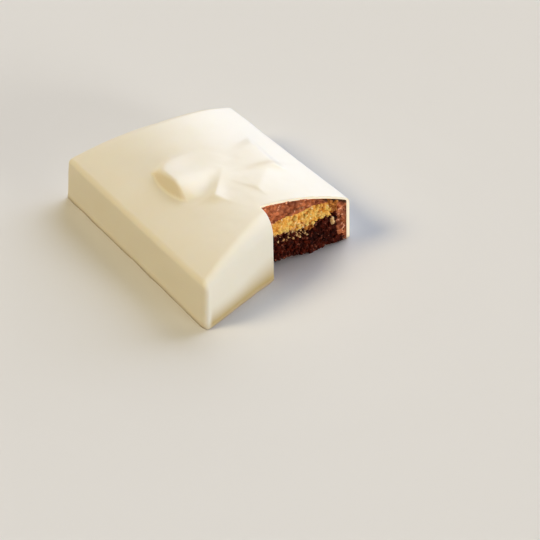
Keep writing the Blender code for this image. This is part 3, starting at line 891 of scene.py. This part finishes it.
# pale bits: a loose fringe and a few larger chunks under the golden layer, and one tall nut near the wall
spots, rng = strewn(seed=521, count=150, run_range=(0.0095, 0.0345),
                    low=lambda run: brownie_line(run) - 0.0060, high=lambda run: brownie_line(run) + 0.0012,
                    tear=crunch_tear, depth=(-0.0006, 0.0010))
chunks = placed((0.0238, 0.0216, -0.0004), (0.0262, 0.0222, -0.0002), (0.0310, 0.0236, -0.0003),
                (0.0185, 0.0208, -0.0002))
chunk_sizes, nut_size = (0.0014, 0.0012, 0.0012, 0.0011), (0.0031,)
nut = placed((0.0540, 0.0190, -0.0002))
sizes = np.concatenate([rng.uniform(0.0003, 0.0010, len(spots)), chunk_sizes, nut_size])
spots = np.concatenate([spots, chunks, nut])
pale = pebbles("pale_nuggets", spots, sizes, 523, nut_look, upright=1)

# toasted bits: at the golden layer's right end, and one patch under it
spots, rng = strewn(seed=531, count=64, run_range=(0.0500, 0.0562),
                    low=lambda run: 0.0262 - 0.25 * (run - 0.053),
                    high=lambda run: 0.0340 - 0.55 * (run - 0.053),
                    tear=mousse_tear, depth=(-0.0003, 0.0008))
under, _ = strewn(seed=533, count=20, run_range=(0.0320, 0.0395),
                  low=lambda run: brownie_line(run) - 0.0012, high=lambda run: brownie_line(run) + 0.0012,
                  tear=crunch_tear, depth=(-0.0006, 0.0004))
spots = np.concatenate([spots, under])
sizes = rng.uniform(0.0007, 0.0016, len(spots))
toasted = pebbles("toasted_nuggets", spots, sizes, 537, toasted_look)

# brownie crumbs: on its own face, strays on the mousse towards the wall's foot, and a few round the nut
spots, rng = strewn(seed=541, count=520, run_range=(-0.006, 0.0568),
                    low=lambda run: 0 * run + 0.0008, high=lambda run: brownie_line(run) - 0.0006,
                    tear=brownie_tear, depth=(-0.0003, 0.0010))
strays, _ = strewn(seed=547, count=22, run_range=(0.0580, 0.0630),
                   low=lambda run: 0 * run + 0.0008, high=lambda run: 0 * run + 0.0066,
                   tear=mousse_tear, depth=(-0.0003, 0.0004))
round_nut = placed((0.0556, 0.0250, 0.0001), (0.0548, 0.0240, 0.0002), (0.0519, 0.0226, 0.0001),
                   (0.0600, 0.0198, 0.0004), (0.0606, 0.0188, 0.0005))
sizes = [rng.uniform(small, large, len(some)) for some, small, large in
         ((spots, 0.0005, 0.0017), (strays, 0.0005, 0.0012), (round_nut, 0.0006, 0.0010))]
spots, sizes = np.concatenate([spots, strays, round_nut]), np.concatenate(sizes)
crumbs = pebbles("brownie_crumbs", spots, sizes, 553, brownie_look)
for piece, slot in ((nuggets, "crunch"), (pale, "crunch"), (toasted, "crunch"), (crumbs, "brownie")):
    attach(piece, "root")

# ---------------------------------------------------------------- stage, lights, camera
FLOOR_HALF = 3.0
FLOOR_SEEN = (0.74, 0.74, 0.74)            # what the camera sees
FLOOR_BOUNCE = (0.22, 0.22, 0.22)          # what throws light back on the cake
floor_material, tree, shader = new_material("pale_floor", 0.8, 0.0)
seen = tree.nodes.new("ShaderNodeLightPath").outputs["Is Camera Ray"]
tree.links.new(colour_mix(tree, seen, FLOOR_BOUNCE, FLOOR_SEEN), shader.inputs["Base Color"])
corners = [(-FLOOR_HALF, -FLOOR_HALF, 0), (FLOOR_HALF, -FLOOR_HALF, 0),
           (FLOOR_HALF, FLOOR_HALF, 0), (-FLOOR_HALF, FLOOR_HALF, 0)]
floor = add_mesh("floor", corners, [[0, 1, 2, 3]], floor_material)


def sun(name, azimuth, elevation, strength, colour, spread):
    """Light from an azimuth (from +X towards +Y) and an elevation, spread over an angle, all in degrees."""
    data = bpy.data.lights.new(name, "SUN")
    data.energy, data.color, data.angle = strength, colour, np.radians(spread)
    obj = bpy.data.objects.new(name, data)
    azimuth, elevation = np.radians(azimuth), np.radians(elevation)
    level = np.cos(elevation)
    towards = Vector((np.cos(azimuth) * level, np.sin(azimuth) * level, np.sin(elevation)))
    obj.rotation_euler = towards.to_track_quat("Z", "Y").to_euler()
    bpy.context.scene.collection.objects.link(obj)


sun("window", 20, 25, 3.55, (0.80, 0.855, 1.0), spread=70)
sun("warm_back", 160, 40, 2.32, (1.0, 0.845, 0.548), spread=25)
sun("front", -75, 5, 2.84, (1.0, 0.975, 0.90), spread=25)
world = bpy.data.worlds.new("studio")
world.use_nodes = True
background = world.node_tree.nodes["Background"]
background.inputs["Color"].default_value = (1.0, 1.0, 1.0, 1.0)
background.inputs["Strength"].default_value = 0.02
bpy.context.scene.world = world

camera_data = bpy.data.cameras.new("camera")
camera_data.lens, camera_data.sensor_width = CAMERA_LENS, CAMERA_SENSOR
camera = bpy.data.objects.new("camera", camera_data)
camera.location = CAMERA_AT
turned = (CAMERA_AT - CAMERA_TO).to_track_quat("Z", "Y") @ Quaternion((0, 0, 1), CAMERA_ROLL)
camera.rotation_euler = turned.to_euler()
bpy.context.scene.collection.objects.link(camera)
bpy.context.scene.camera = camera
bpy.context.scene.view_settings.view_transform = "Standard"
